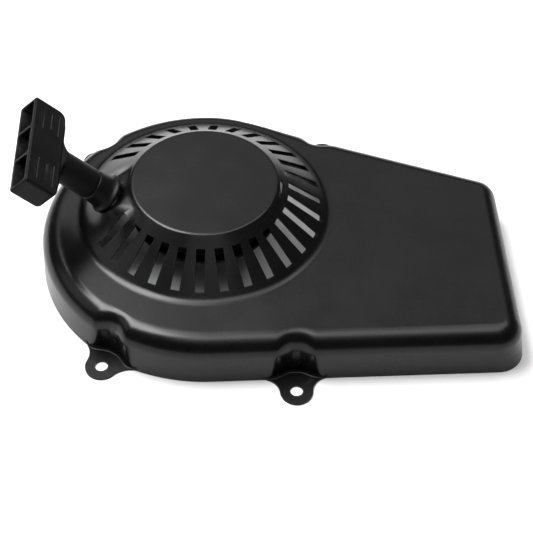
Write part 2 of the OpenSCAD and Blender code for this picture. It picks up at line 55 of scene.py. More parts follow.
# ---- camera
CAMERA_PLACE = (-0.0110, -0.6820, 0.7304)
CAMERA_SENSOR = 36
CAMERA_LENS = 109.4
CAMERA_TURN_A = -4.11
CAMERA_TILT_A = 42.25
CAMERA_ROLL_A = 1.36


def make_camera():
    """The photograph's viewpoint: from the front, looking down 48 degrees."""
    data = bpy.data.cameras.new("camera")
    data.sensor_width = CAMERA_SENSOR
    data.lens = CAMERA_LENS
    camera = bpy.data.objects.new("camera", data)
    turn = Matrix.Rotation(math.radians(CAMERA_TURN_A), 4, "Z")
    tilt = Matrix.Rotation(math.radians(CAMERA_TILT_A), 4, "X")
    roll = Matrix.Rotation(math.radians(CAMERA_ROLL_A), 4, "Z")
    camera.matrix_world = Matrix.Translation(CAMERA_PLACE) @ turn @ tilt @ roll
    bpy.context.collection.objects.link(camera)
    bpy.context.scene.camera = camera


make_camera()

# ---- driving dimensions
# Names that end in _A are angles in degrees, _R radii, _Z heights over the mounting plane.
SHEET = 1.2
WALL_R = 98.1
WALL_OFF = 9.9
PLATE_Z = 30.6
EDGE_R = 12.0
WALL_DRAFT = 0.5
END_DRAFT = 2.2
END_X = 182.0
BACK_A = 67.9
BACK_D = 87.1
BLEND_R = 60.0
FRONT_CORNER_R = 16.0
BACK_CORNER_R = 14.0
LUG_R = 9.5
LUG_HOLE_R = 3.75
LUG_T = 1.4
BEND_R = 1.7
LUG_FLARE = 19.5
LUG_BEND_FADE = 9.0
LUG_SINK = 0.12
DENT_DEPTH = 4.8
DENT_HALF = 15.0
DENT_FLAT = 1.5
DENT_TOP = 0.25
DENT_MIDDLE = 0.94
DENT_TOP_WIDTH = 0.8
DENT_FULL_AT = 0.8
DENT_REACH = 45.0
DISC_Z = 54.6
DISC_R = 42.2
RIM_R = 3.0
CONE_A = 37.2
FOOT_R = 9.0
SLOT_N = 26
SLOT_STEP = 11.83
SLOT_START = 206.7
SLOT_W = 5.2
SLOT_IN_R = 50.1
SLOT_OUT_R = 70.0
SLOT_MID_R = 61.0
SLOT_FADE = 7.0
SPRING_SLOT_A = -8.0
SPRING_SLOT_HALF_A = 8.7
SPRING_SLOT_IN_R = 45.1
SPRING_SLOT_OUT_R = 46.5
SEAT = np.array([-57.5, -3.3, 49.0])
GUIDE_A = 43.5
GUIDE_TIP = 12.7
GUIDE_HOLE_R = 7.2
GUIDE_HOLE_MARGIN = 0.4
GUIDE_HOLE_LOW_Z = 38.0
GUIDE_EDGE_REACH = 12.0
BOSS_SEAT_R = 13.2
BOSS_SEAT_SOFT = 4.0
BOSS_SIDE_SLOPE = 0.95
BOSS_REACH = 34.0
BOSS_FADE = 8.0
BOSS_HEAD_GAP = 0.6
BOSS_HEAD_SOFT = 2.2
BOSS_FALL_A = 18.0
BOSS_SOFT_R = 26.0
BOSS_SOFT_ROUNDS = 14
BAR_L = 65.0
BAR_D = 22.2
BAR_T = 15.7
BAR_START = 40.3
GRIP_TWIST = -5.0
NECK_R = 9.3
ROPE_R = 2.0

WALL_C = np.array([0.0, -WALL_OFF])
FRONT_Y = -WALL_OFF - WALL_R
WALL_TOP_Z = PLATE_Z - EDGE_R


def cosd(a):
    return np.cos(np.radians(a))


def sind(a):
    return np.sin(np.radians(a))


def unit(a):
    return np.stack([cosd(a), sind(a)], axis=-1)


def ease(t):
    t = np.clip(t, 0, 1)
    return t * t * (3 - 2 * t)


GUIDE_DIR = np.array([-cosd(GUIDE_A), 0, sind(GUIDE_A)])
GUIDE_FRAME = Matrix.Translation(Vector(SEAT)) @ Matrix.Rotation(math.radians(GUIDE_A - 90), 4, "Y")
GRIP_FRAME = GUIDE_FRAME @ Matrix.Rotation(math.radians(GRIP_TWIST), 4, "Z")


# ---- mesh helpers
def new_object(name, points, faces, matrix=None):
    """An object from points in millimetres, with smooth faces."""
    points = np.asarray(points, float)
    if matrix is not None:
        m = np.array(matrix)
        points = points @ m[:3, :3].T + m[:3, 3]
    mesh = bpy.data.meshes.new(name)
    mesh.from_pydata((points * MM).tolist(), [], [tuple(int(i) for i in f) for f in faces])
    mesh.update()
    shade_smooth(mesh)
    ob = bpy.data.objects.new(name, mesh)
    bpy.context.collection.objects.link(ob)
    return ob


def shade_smooth(mesh):
    mesh.polygons.foreach_set("use_smooth", [True] * len(mesh.polygons))


def apply_modifiers(ob):
    graph = bpy.context.evaluated_depsgraph_get()
    mesh = bpy.data.meshes.new_from_object(ob.evaluated_get(graph), depsgraph=graph)
    ob.modifiers.clear()
    ob.data = mesh


@contextmanager
def editing(ob):
    """A bmesh of the object's mesh, written back at the end."""
    bm = bmesh.new()
    bm.from_mesh(ob.data)
    yield bm
    bm.to_mesh(ob.data)
    bm.free()


def recalc_normals(ob):
    with editing(ob) as bm:
        bmesh.ops.recalc_face_normals(bm, faces=bm.faces)


def soften(ob, width, segments, angle):
    """Rounds every edge sharper than angle, then weights the normals so that flat faces stay flat."""
    bevel = ob.modifiers.new("edges", "BEVEL")
    bevel.width = width * MM
    bevel.segments = segments
    bevel.limit_method = "ANGLE"
    bevel.angle_limit = math.radians(angle)
    bevel.use_clamp_overlap = True
    weighted = ob.modifiers.new("normals", "WEIGHTED_NORMAL")
    weighted.keep_sharp = True
    weighted.weight = 60
    apply_modifiers(ob)


def cut(ob, tool):
    """Takes tool away from ob, and deletes tool."""
    boolean = ob.modifiers.new("cut", "BOOLEAN")
    boolean.operation = "DIFFERENCE"
    boolean.solver = "EXACT"
    boolean.object = tool
    apply_modifiers(ob)
    bpy.data.objects.remove(tool, do_unlink=True)


def bezier(a, b, c, t):
    t = np.asarray(t)[:, None]
    return (1 - t) ** 2 * a + 2 * t * (1 - t) * b + t * t * c


def lathe(name, profile, matrix, steps):
    """A closed (radius, height) profile turned about the frame's Z."""
    n = len(profile)
    turn = np.arange(steps) * 360 / steps
    profile = np.asarray(profile, float)
    x = cosd(turn)[:, None] * profile[:, 0]
    y = sind(turn)[:, None] * profile[:, 0]
    points = np.stack([x, y, np.broadcast_to(profile[:, 1], x.shape)], axis=-1).reshape(-1, 3)
    faces = []
    for j in range(steps):
        k = (j + 1) % steps
        for i in range(n):
            m = (i + 1) % n
            faces.append((j * n + i, k * n + i, k * n + m, j * n + m))
    ob = new_object(name, points, faces, matrix)
    with editing(ob) as bm:
        bmesh.ops.remove_doubles(bm, verts=bm.verts, dist=1e-6)
        bmesh.ops.recalc_face_normals(bm, faces=bm.faces)
    shade_smooth(ob.data)
    return ob


def loft(name, rings, matrix=None):
    """A closed body through rings that all have the same number of points."""
    n = len(rings[0])
    faces = []
    for k in range(len(rings) - 1):
        for j in range(n):
            m = (j + 1) % n
            faces.append((k * n + j, k * n + m, (k + 1) * n + m, (k + 1) * n + j))
    faces.append(tuple(reversed(range(n))))
    faces.append(tuple((len(rings) - 1) * n + j for j in range(n)))
    ob = new_object(name, np.concatenate(rings), faces, matrix)
    recalc_normals(ob)
    return ob


def round_corners(corners, radii, steps=6):
    """A closed profile with every corner rounded by its own radius."""
    corners = [np.array(c, float) for c in corners]
    n = len(corners)
    out = []
    for i, c in enumerate(corners):
        before = corners[i - 1] - c
        after = corners[(i + 1) % n] - c
        reach = min(radii[i], 0.45 * np.linalg.norm(before), 0.45 * np.linalg.norm(after))
        a = c + before / np.linalg.norm(before) * reach
        b = c + after / np.linalg.norm(after) * reach
        out.extend(bezier(a, c, b, np.linspace(0, 1, steps)))
    return out


def path_frames(path):
    """Directions and two cross directions along a path, without twist."""
    d = np.gradient(path, axis=0)
    d /= np.linalg.norm(d, axis=1)[:, None]
    side = np.cross(d[0], [0.3, 1.0, 0.2])
    side /= np.linalg.norm(side)
    sides = []
    for t in d:
        side = side - t * side.dot(t)
        side /= np.linalg.norm(side)
        sides.append(side.copy())
    sides = np.array(sides)
    return d, sides, np.cross(d, sides)


def tube(name, path, radius, sides=16, matrix=None):
    """A round wire or rope along a path, closed by domed ends."""
    path = np.asarray(path, float)
    d, u, w = path_frames(path)
    dome = [(0.97, 0.25), (0.8, 0.6), (0.45, 0.9)]
    rings = [(path[0] - d[0] * radius * k, radius * r, 0) for r, k in reversed(dome)]
    rings += [(path[i], radius, i) for i in range(len(path))]
    rings += [(path[-1] + d[-1] * radius * k, radius * r, len(path) - 1) for r, k in dome]
    turn = np.arange(sides) * 360 / sides
    round_path = [c + r * (cosd(turn)[:, None] * u[i] + sind(turn)[:, None] * w[i]) for c, r, i in rings]
    ob = loft(name, round_path, matrix)
    lay_strand_map(ob, sides, np.array([r[0] for r in rings]))
    return ob


def lay_strand_map(ob, sides, centres):
    """Coordinates along a tube: turns round it, and metres from its start."""
    steps = np.linalg.norm(np.diff(centres, axis=0), axis=1)
    along = np.concatenate([[0], np.cumsum(steps)]) * MM
    layer = ob.data.uv_layers.new(name="strand")
    for face in ob.data.polygons:
        wraps = {v % sides for v in face.vertices} >= {0, sides - 1} and len(face.vertices) == 4
        for loop in face.loop_indices:
            v = ob.data.loops[loop].vertex_index
            turn = v % sides
            layer.data[loop].uv = ((sides if wraps and turn == 0 else turn) / sides, along[v // sides])


def box_tool(size, centre, matrix):
    """A box for cutting, size and centre in millimetres in the frame given by matrix."""
    s = np.array(size, float) / 2
    c = np.array(centre, float)
    corners = [c + s * (x, y, z) for x in (-1, 1) for y in (-1, 1) for z in (-1, 1)]
    faces = [(0, 1, 3, 2), (4, 6, 7, 5), (0, 4, 5, 1), (2, 3, 7, 6), (0, 2, 6, 4), (1, 5, 7, 3)]
    ob = new_object("tool", corners, faces, matrix)
    recalc_normals(ob)
    return ob


# ---- housing outline
BACK_N = unit(BACK_A)
BACK_T = np.array([sind(BACK_A), -cosd(BACK_A)])
FRONT_RIGHT_X = 48.4
FRONT_RIGHT_OUT = 9.4
BACK_RIGHT_S = 44.0
BACK_RIGHT_OUT = 12.5


def round_wall_lug(azimuth, out):
    """Screw hole, facing and reach of a lug on the round wall."""
    return WALL_C + (WALL_R + out) * unit(azimuth), azimuth, out


LUGS = {
    "front_left": round_wall_lug(233.594, 7.28),
    "front_right": (np.array([FRONT_RIGHT_X, FRONT_Y - FRONT_RIGHT_OUT]), 270.0, FRONT_RIGHT_OUT),
    "back_right": (BACK_N * (BACK_D + BACK_RIGHT_OUT) + BACK_T * BACK_RIGHT_S, BACK_A, BACK_RIGHT_OUT),
    "back_left": round_wall_lug(128.7, 8.93),
}
OUTLINE_STEP = 0.5


def dent_at(s, width=1.0):
    """Depth of a dent at distance s from its middle."""
    return DENT_DEPTH * (1 - ease((np.abs(s) / width - DENT_FLAT) / (DENT_HALF - DENT_FLAT)))


def dented(p, share, width):
    """Pushes the wall in above each lug; the dent is an arch, so it narrows towards its top."""
    p = np.array(p, float)
    for hole, facing, _ in LUGS.values():
        v = p - hole
        s = v @ np.array([sind(facing), -cosd(facing)])
        near = np.linalg.norm(v, axis=1) < DENT_REACH
        p = p - (share * dent_at(s, width) * near)[:, None] * unit(facing)
    return p


def arc(c, r, a0, a1):
    n = max(2, int(abs(math.radians(a1 - a0)) * r / OUTLINE_STEP) + 1)
    return np.asarray(c) + r * unit(np.linspace(a0, a1, n))


def line(a, b):
    a, b = np.asarray(a, float), np.asarray(b, float)
    n = max(2, int(np.linalg.norm(b - a) / OUTLINE_STEP) + 1)
    return a + (b - a) * np.linspace(0, 1, n)[:, None]


BLEND_TURN = math.degrees(math.acos((BACK_D - WALL_C @ BACK_N - BLEND_R) / (WALL_R - BLEND_R)))
BLEND_C = WALL_C + (WALL_R - BLEND_R) * unit(BACK_A + BLEND_TURN)


def outline(inset, lean, dent_share, dent_width=1.0):
    """The wall's outline, counter-clockwise: inset all round, leaning more at the long end."""
    front_r = FRONT_CORNER_R - inset
    back_r = BACK_CORNER_R - inset
    x = END_X - inset - lean
    front_c = np.array([x - front_r, FRONT_Y + inset + front_r])
    back_x = x - back_r
    back_c = np.array([back_x, (BACK_D - inset - back_r - back_x * BACK_N[0]) / BACK_N[1]])
    start = np.array([0, FRONT_Y + inset])
    corner_f = arc(front_c, front_r, -90, 0)
    corner_b = arc(back_c, back_r, 0, BACK_A)
    blend = arc(BLEND_C, BLEND_R - inset, BACK_A, BACK_A + BLEND_TURN)
    wall = arc(WALL_C, WALL_R - inset, BACK_A + BLEND_TURN, 270)
    parts = [line(start, corner_f[0])[:-1], corner_f, line(corner_f[-1], corner_b[0])[1:-1], corner_b,
             line(corner_b[-1], blend[0])[1:-1], blend, wall[1:-1]]
    return dented(np.concatenate(parts), dent_share, dent_width)


def reach(points, azimuths):
    """Distance from the crank axis to an outline along each azimuth."""
    a = np.degrees(np.arctan2(points[:, 1], points[:, 0])) % 360
    r = np.linalg.norm(points, axis=1)
    order = np.argsort(a)
    return np.interp(np.asarray(azimuths) % 360, a[order], r[order], period=360)


# ---- housing grid
RIM_END = (DISC_R + RIM_R * sind(CONE_A), DISC_Z - RIM_R * (1 - cosd(CONE_A)))
FOOT_X = (RIM_END[0] + (RIM_END[1] - PLATE_Z) / math.tan(math.radians(CONE_A))
          + FOOT_R * math.tan(math.radians(CONE_A / 2)))
FOOT_START = FOOT_X - FOOT_R * sind(CONE_A)
SLOT_EDGE_A = math.degrees(math.asin(SLOT_W / 2 / SLOT_MID_R))
HALF_STEP = SLOT_STEP / 2
DISC_RINGS = (5, 11, 18, 26, 33, 38.5, 41, 41.9, DISC_R)
CONE_RINGS = (44.4, SPRING_SLOT_IN_R, SPRING_SLOT_OUT_R, 47.5, 48.8, SLOT_IN_R, 51.4, 53.2, 55.4, 57.8,
              60.2, 62.6, 65, 67.3, 69, SLOT_OUT_R, 71.2, FOOT_START)
PLATE_SHARES = (0.03, 0.12, 0.28, 0.45, 0.62, 0.78, 0.9, 0.97)
EDGE_RINGS = 22
WALL_RINGS = 13
GAP_COLUMNS = 40
COLUMN_W = 1.5
FOOT_GAP = 0.8
FOOT_SOFT = 3


def cone_rings():
    """(radius, height) from the disc's centre to the cone's foot."""
    rings = [(r, DISC_Z) for r in DISC_RINGS]
    for a in np.linspace(0, CONE_A, 10)[1:]:
        rings.append((DISC_R + RIM_R * sind(a), DISC_Z - RIM_R * (1 - cosd(a))))
    for r in CONE_RINGS:
        rings.append((r, RIM_END[1] - (r - RIM_END[0]) * math.tan(math.radians(CONE_A))))
    for a in np.linspace(CONE_A, 0, 14)[1:]:
        rings.append((FOOT_X - FOOT_R * sind(a), PLATE_Z + FOOT_R * (1 - cosd(a))))
    return rings


def columns():
    """Azimuths of the grid's columns, with the slot each belongs to and whether the next step is open."""
    marks = []
    for i in range(SLOT_N):
        c = SLOT_START + SLOT_STEP * i
        for b, is_open in ((-HALF_STEP, False), (-(HALF_STEP + SLOT_EDGE_A) / 2, False),
                           (-SLOT_EDGE_A, True), (0, True), (SLOT_EDGE_A, False),
                           ((HALF_STEP + SLOT_EDGE_A) / 2, False)):
            marks.append((c + b, c, is_open))
    gap_start = SLOT_START + SLOT_STEP * (SLOT_N - 1) + HALF_STEP
    gap_end = SLOT_START - HALF_STEP + 360
    for i in range(GAP_COLUMNS):
        marks.append((gap_start + (gap_end - gap_start) * i / GAP_COLUMNS, None, False))
    outer = outline(0, 0, 1)
    out = []
    for (a, c, is_open), (b, _, _) in zip(marks, marks[1:] + [(marks[0][0] + 360, None, False)]):
        ends = reach(outer, [a, b])[:, None] * unit(np.array([a, b]))
        n = max(1, math.ceil(np.linalg.norm(ends[1] - ends[0]) / COLUMN_W))
        for k in range(n):
            out.append((a + (b - a) * k / n, c, is_open))
    return out


def warp(azimuth, centre, r):
    """Moves a column so that a slot's two sides stay parallel over its length."""
    if centre is None:
        return azimuth
    inside = min(max(r, SLOT_IN_R), SLOT_OUT_R)
    fade = ease(abs(r - inside) / SLOT_FADE)
    edge = math.degrees(math.asin(SLOT_W / 2 / inside)) * (1 - fade) + SLOT_EDGE_A * fade
    b = azimuth - centre
    if abs(b) <= SLOT_EDGE_A:
        return centre + b * edge / SLOT_EDGE_A
    far = edge + (abs(b) - SLOT_EDGE_A) * (HALF_STEP - edge) / (HALF_STEP - SLOT_EDGE_A)
    return centre + math.copysign(far, b)


def smooth_max(a, b, k):
    """The larger of a and b, with the corner between them rounded over k."""
    h = np.clip(0.5 + 0.5 * (b - a) / k, 0, 1)
    return a * (1 - h) + b * h + k * h * (1 - h)


def raise_boss(p):
    """Draws the sheet out along the guide's axis into a round seat that runs into the shoulder."""
    v = p - SEAT
    t = v @ GUIDE_DIR
    rho = np.linalg.norm(v - t[..., None] * GUIDE_DIR, axis=-1)
    side = -BOSS_SIDE_SLOPE * np.maximum(0, rho - BOSS_SEAT_R)
    target = smooth_max(t, np.minimum(side, 0), BOSS_SEAT_SOFT)
    near = ease((BOSS_REACH - rho) / BOSS_FADE)
    lift = np.maximum(0, target - t) * near
    fall = np.maximum(0, np.hypot(p[..., 0], p[..., 1]) - DISC_R) * math.tan(math.radians(BOSS_FALL_A))
    head = np.maximum(0, DISC_Z - BOSS_HEAD_GAP - fall - p[..., 2]) / GUIDE_DIR[2]
    lift = -smooth_max(-lift, -head, BOSS_HEAD_SOFT)
    return p + np.maximum(0, lift)[..., None] * GUIDE_DIR, rho


def ring_at(azimuth, radius, z):
    """One ring of the grid: a radius for every column, all at one height."""
    return np.concatenate([radius[:, None] * unit(azimuth), np.full((len(azimuth), 1), z)], axis=1)


def housing_grid():
    """The outer face of the pressing as a grid of points [ring, column], with what the faces need."""
    cols = columns()
    azimuth = np.array([c[0] for c in cols])
    rings = []
    plain_r = reach(outline(WALL_DRAFT + EDGE_R, END_DRAFT, DENT_TOP, DENT_TOP_WIDTH), azimuth)
    top_r = smooth_max(plain_r, np.full(len(cols), FOOT_X + FOOT_GAP), FOOT_SOFT)
    push = top_r - plain_r
    for r, z in cone_rings():
        warped = np.array([warp(a, c, r) for a, c, _ in cols])
        rings.append(ring_at(warped, np.full(len(cols), float(r)), z))
    for t in PLATE_SHARES:
        rings.append(ring_at(azimuth, FOOT_X + (top_r - FOOT_X) * t, PLATE_Z))
    lean_a = math.degrees(math.atan2(WALL_DRAFT, WALL_TOP_Z))
    for a in np.linspace(90, -lean_a, EDGE_RINGS):
        share = DENT_TOP + (DENT_MIDDLE - DENT_TOP) * math.sin(math.radians(90 - a))
        level = outline(WALL_DRAFT + EDGE_R * (1 - cosd(a)), END_DRAFT, share, DENT_TOP_WIDTH)
        z = WALL_TOP_Z + EDGE_R * sind(a)
        rings.append(ring_at(azimuth, reach(level, azimuth) + push * (1 - cosd(a)), z))
    low = WALL_TOP_Z + EDGE_R * sind(-lean_a)
    for u in np.linspace(0, 1, WALL_RINGS)[1:]:
        z = low * (1 - u)
        inset = (WALL_DRAFT + EDGE_R * (1 - cosd(lean_a))) * (1 - u)
        opened = ease(u / DENT_FULL_AT)
        share = DENT_MIDDLE + (1 - DENT_MIDDLE) * opened
        width = DENT_TOP_WIDTH + (1 - DENT_TOP_WIDTH) * opened
        level = outline(inset, END_DRAFT * (1 - u), share, width)
        rings.append(ring_at(azimuth, reach(level, azimuth), z))
    grid, rho = raise_boss(np.array(rings))
    return cols, grid, rho


def housing_shell():
    """The painted pressing: the grid's outer face with its slots left open, given the sheet's thickness."""
    cols, grid, rho = housing_grid()
    n_rings, n = grid.shape[:2]
    radii = [r for r, _ in cone_rings()]
    azimuth = np.array([c[0] for c in cols])
    in_spring_slot = np.abs((azimuth - SPRING_SLOT_A + 180) % 360 - 180) < SPRING_SLOT_HALF_A
    hole = (rho < GUIDE_HOLE_R + GUIDE_HOLE_MARGIN) & (grid[..., 2] > GUIDE_HOLE_LOW_Z)
    points = [(0, 0, DISC_Z)] + list(grid.reshape(-1, 3))
    faces = [(0, 1 + j, 1 + (j + 1) % n) for j in range(n)]
    for i in range(n_rings - 1):
        on_cone = i + 1 < len(radii)
        in_slot_ring = on_cone and SLOT_IN_R <= radii[i] and radii[i + 1] <= SLOT_OUT_R
        in_spring_ring = on_cone and radii[i] == SPRING_SLOT_IN_R
        for j in range(n):
            k = (j + 1) % n
            if in_slot_ring and cols[j][2]:
                continue
            if in_spring_ring and in_spring_slot[j] and in_spring_slot[k]:
                continue
            if hole[i, j] or hole[i, k] or hole[i + 1, j] or hole[i + 1, k]:
                continue
            faces.append((1 + i * n + j, 1 + (i + 1) * n + j, 1 + (i + 1) * n + k, 1 + i * n + k))
    ob = new_object("housing_shell", points, faces)
    tidy_shell(ob)
    thicken(ob, SHEET, True, 0.28)
    return ob


def thicken(ob, thickness, even, edge):
    """Gives a sheet its thickness and rounded edges, with nothing below the mounting plane."""
    sheet = ob.modifiers.new("sheet", "SOLIDIFY")
    sheet.thickness = thickness * MM
    sheet.offset = -1
    sheet.use_even_offset = even
    apply_modifiers(ob)
    soften(ob, edge, 2, 50)
    for v in ob.data.vertices:
        v.co.z = max(v.co.z, 0)


def tidy_shell(ob):
    """Drops unused points, makes the guide hole's edge round and smooths the shoulder beside it."""
    seat, direction = Vector(SEAT) * MM, Vector(GUIDE_DIR)
    with editing(ob) as bm:
        bmesh.ops.delete(bm, geom=[v for v in bm.verts if not v.link_faces], context="VERTS")
        shoulder = []
        for v in bm.verts:
            off = v.co - seat
            along = off.dot(direction) * direction
            across = off - along
            if v.is_boundary:
                if across.length < GUIDE_EDGE_REACH * MM:
                    v.co = seat + along + across.normalized() * GUIDE_HOLE_R * MM
            elif across.length < BOSS_SOFT_R * MM and v.co.xy.length > (DISC_R + RIM_R) * MM:
                shoulder.append(v)
        for _ in range(BOSS_SOFT_ROUNDS):
            bmesh.ops.smooth_vert(bm, verts=shoulder, factor=0.5,
                                  use_axis_x=True, use_axis_y=True, use_axis_z=True)
        bmesh.ops.recalc_face_normals(bm, faces=bm.faces)


# ---- lugs
def lug_outline(out):
    """One lug in its own frame, hole at the origin, wall towards -X: (points, is it on the wall)."""
    fillet = (LUG_FLARE ** 2 + out ** 2 - LUG_R ** 2) / (2 * (out + LUG_R))
    centre = np.array([fillet - out, LUG_FLARE])
    meet = math.degrees(math.atan2(centre[1], centre[0]))
    tip = [LUG_R * unit(a) for a in np.linspace(-meet, meet, 29)]
    upper = [centre + fillet * unit(a) for a in np.linspace(meet + 180, 180, 22)[1:]]
    lower = [p * (1, -1) for p in upper]
    wall = [np.array([-out - dent_at(s), s]) for s in np.linspace(LUG_FLARE, -LUG_FLARE, 56)[1:-1]]
    points = tip + upper + wall + lower[::-1]
    before = [False] * (len(tip) + len(upper) - 1)
    after = [False] * (len(lower) - 1)
    on_wall = before + [True] * (len(wall) + 2) + after
    return np.array(points), on_wall


def lug(name, hole, facing, out, curved):
    """A flat lug bent off the wall's foot, with its screw hole."""
    points, on_wall = lug_outline(out)
    if curved:
        sag = WALL_R - np.sqrt(WALL_R ** 2 - points[:, 1] ** 2)
        points[:, 0] -= sag * ease(-points[:, 0] / out)
    n = len(points)
    normal = np.roll(points, -1, 0) - np.roll(points, 1, 0)
    normal = np.stack([normal[:, 1], -normal[:, 0]], axis=1)
    normal /= np.linalg.norm(normal, axis=1)[:, None]
    bend = np.where(on_wall, BEND_R * ease((LUG_FLARE - np.abs(points[:, 1])) / LUG_BEND_FADE), 0)
    bm = bmesh.new()

    def ring(xy, z):
        return [bm.verts.new((p[0] * MM, p[1] * MM, h * MM)) for p, h in zip(xy, z)]

    rim = ring(points - normal * bend[:, None], np.full(n, LUG_T))
    hole_ring = ring(LUG_HOLE_R * unit(np.arange(40) * 9.0), np.full(40, LUG_T))
    loops = [bm.edges.new((r[i - 1], r[i])) for r in (rim, hole_ring) for i in range(len(r))]
    bmesh.ops.triangle_fill(bm, use_beauty=True, edges=loops, normal=(0, 0, 1))
    before = rim
    for a in (15, 30, 45, 60, 75, 90):
        after = ring(points - normal * (bend * (1 - sind(a)))[:, None] + normal * LUG_SINK * (a > 80),
                     LUG_T + bend * (1 - cosd(a)))
        for j in range(n):
            m = (j + 1) % n
            if on_wall[j] and on_wall[m]:
                bm.faces.new((before[j], before[m], after[m], after[j]))
        before = after
    bmesh.ops.remove_doubles(bm, verts=bm.verts, dist=1e-6)
    bmesh.ops.delete(bm, geom=[v for v in bm.verts if not v.link_faces], context="VERTS")
    bmesh.ops.recalc_face_normals(bm, faces=bm.faces)
    if sum(f.normal.z * f.calc_area() for f in bm.faces) < 0:
        bmesh.ops.reverse_faces(bm, faces=bm.faces)
    place = Matrix.Translation((hole[0] * MM, hole[1] * MM, 0))
    bm.transform(place @ Matrix.Rotation(math.radians(facing), 4, "Z"))
    ob = new_object(name, np.zeros((0, 3)), [])
    bm.to_mesh(ob.data)
    bm.free()
    shade_smooth(ob.data)
    thicken(ob, LUG_T, False, 0.25)
    return ob


# ---- rope guide
COLLAR_BORE_R = 3.7
COLLAR_STEM_R = 6.95
COLLAR_FLANGE_R = 12.2
COLLAR_FLANGE_Z = 0.1
COLLAR_SEAT_R = 5.3
COLLAR_SEAT_Z = GUIDE_TIP - 2.1
EYELET_IN_R = 2.8
EYELET_OUT_R = 3.6
EYELET_RIM_R = 5.1
EYELET_LOW_Z = -3.8


def rope_guide():
    """The collar: bore, flared entry inside, stem in the housing's hole, flange, tapering head."""
    corners = [(COLLAR_BORE_R, COLLAR_SEAT_Z), (COLLAR_BORE_R, -4), (4.2, -6.5), (5.2, -9), (6.3, -11),
               (COLLAR_STEM_R, -10.6), (COLLAR_STEM_R, COLLAR_FLANGE_Z), (COLLAR_FLANGE_R, COLLAR_FLANGE_Z),
               (COLLAR_FLANGE_R, 1.3), (10.4, 2.8), (9.8, 6.5), (9.5, GUIDE_TIP - 1.0), (9.0, GUIDE_TIP),
               (COLLAR_SEAT_R, GUIDE_TIP), (COLLAR_SEAT_R, COLLAR_SEAT_Z)]
    radii = [0.2, 3, 3, 3, 0.5, 0.3, 0.2, 0.4, 0.8, 2.5, 3, 1.2, 0.8, 0.4, 0.3]
    return lathe("guide_collar", round_corners(corners, radii), GUIDE_FRAME, 128)


def guide_eyelet():
    """The steel liner, with its rolled rim in the collar's mouth."""
    corners = [(EYELET_IN_R, EYELET_LOW_Z), (EYELET_OUT_R, EYELET_LOW_Z), (EYELET_OUT_R, GUIDE_TIP - 2),
               (EYELET_RIM_R, GUIDE_TIP - 2), (EYELET_RIM_R, GUIDE_TIP - 0.5),
               (3.7, GUIDE_TIP - 0.15), (EYELET_IN_R, GUIDE_TIP - 1.4)]
    radii = [0.3, 0.2, 0.2, 0.2, 0.9, 1.2, 1.0]
    return lathe("rope_eyelet", round_corners(corners, radii), GUIDE_FRAME, 96)


# ---- grip
def rounded_ring(a, b, corner, z, corner_steps=10, side_steps=6):
    """A rounded rectangle, half sizes a and b."""
    corner = min(corner, a, b)
    ring = []
    quarters = ((1, 1), (-1, 1), (-1, -1), (1, -1))
    centres = [np.array([x * (a - corner), y * (b - corner)]) for x, y in quarters]
    for q in range(4):
        for k in range(corner_steps + 1):
            ring.append(centres[q] + corner * unit(90 * q + 90 * k / corner_steps))
        start = ring[-1]
        end = centres[(q + 1) % 4] + corner * unit(90 * (q + 1))
        for k in range(1, side_steps):
            ring.append(start + (end - start) * k / side_steps)
    ring = np.array(ring)
    return np.concatenate([ring, np.full((len(ring), 1), z)], axis=1)


GRIP_GAP = 0.1
GRIP_FILLET = 5.0
GRIP_NECK_CORNER = 3.2
GRIP_CORNER = 1.8
GRIP_END_R = 5.0
GRIP_EDGE_INSET = 0.8
GRIP_RIM_R = 1.1
WALL_GRIP = 2.3
RIB_T = 1.8
POCKET_L = (BAR_L - 2 * WALL_GRIP - 2 * RIB_T) / 3
POCKET_DEPTH = 17.0
GROOVE_W = 0.9
GROOVE_START = 4.9
GROOVE_STEP = 5.5


def neck_ring(inset, z):
    """A round ring of the grip's neck."""
    return rounded_ring(NECK_R - inset, NECK_R - inset, NECK_R, z)


def grip_body():
    """The T: a round neck that turns into the cross bar through a fillet, rounded at its ends and rim."""
    half_t, half_l = BAR_T / 2, BAR_L / 2
    start, end = BAR_START, BAR_START + BAR_D
    tip = GUIDE_TIP + GRIP_GAP
    rings = [neck_ring(0.9, tip), neck_ring(0.35, tip + 0.25), neck_ring(0, tip + 0.9)]
    rings += [neck_ring(0, z) for z in np.linspace(tip + 3, start - 9, 6)]
    for a in np.linspace(0, 90, 10):
        k = ease(a / 90)
        rings.append(rounded_ring(NECK_R + (half_t - NECK_R) * k, NECK_R + GRIP_FILLET * (1 - cosd(a)),
                                  NECK_R + (GRIP_NECK_CORNER - NECK_R) * k,
                                  start - GRIP_FILLET + GRIP_FILLET * sind(a)))
    for k in (0.15, 0.4, 0.7):
        length = NECK_R + GRIP_FILLET + (half_l - GRIP_END_R - NECK_R - GRIP_FILLET) * k
        corner = GRIP_NECK_CORNER + (GRIP_CORNER - GRIP_NECK_CORNER) * min(1, 3 * k)
        rings.append(rounded_ring(half_t, length, corner, start))
    for a in np.linspace(0, 90, 8):
        rings.append(rounded_ring(half_t - GRIP_EDGE_INSET * (1 - sind(a)),
                                  half_l - GRIP_END_R + GRIP_END_R * sind(a), GRIP_CORNER,
                                  start + GRIP_END_R * (1 - cosd(a))))
    for z in np.linspace(start + 7, end - 3, 4):
        rings.append(rounded_ring(half_t, half_l, GRIP_CORNER, z))
    for a in np.linspace(0, 90, 6):
        inset = GRIP_RIM_R * (1 - cosd(a))
        rings.append(rounded_ring(half_t - inset, half_l - inset, GRIP_CORNER,
                                  end - GRIP_RIM_R + GRIP_RIM_R * sind(a)))
    return loft("grip_body", rings, GRIP_FRAME)


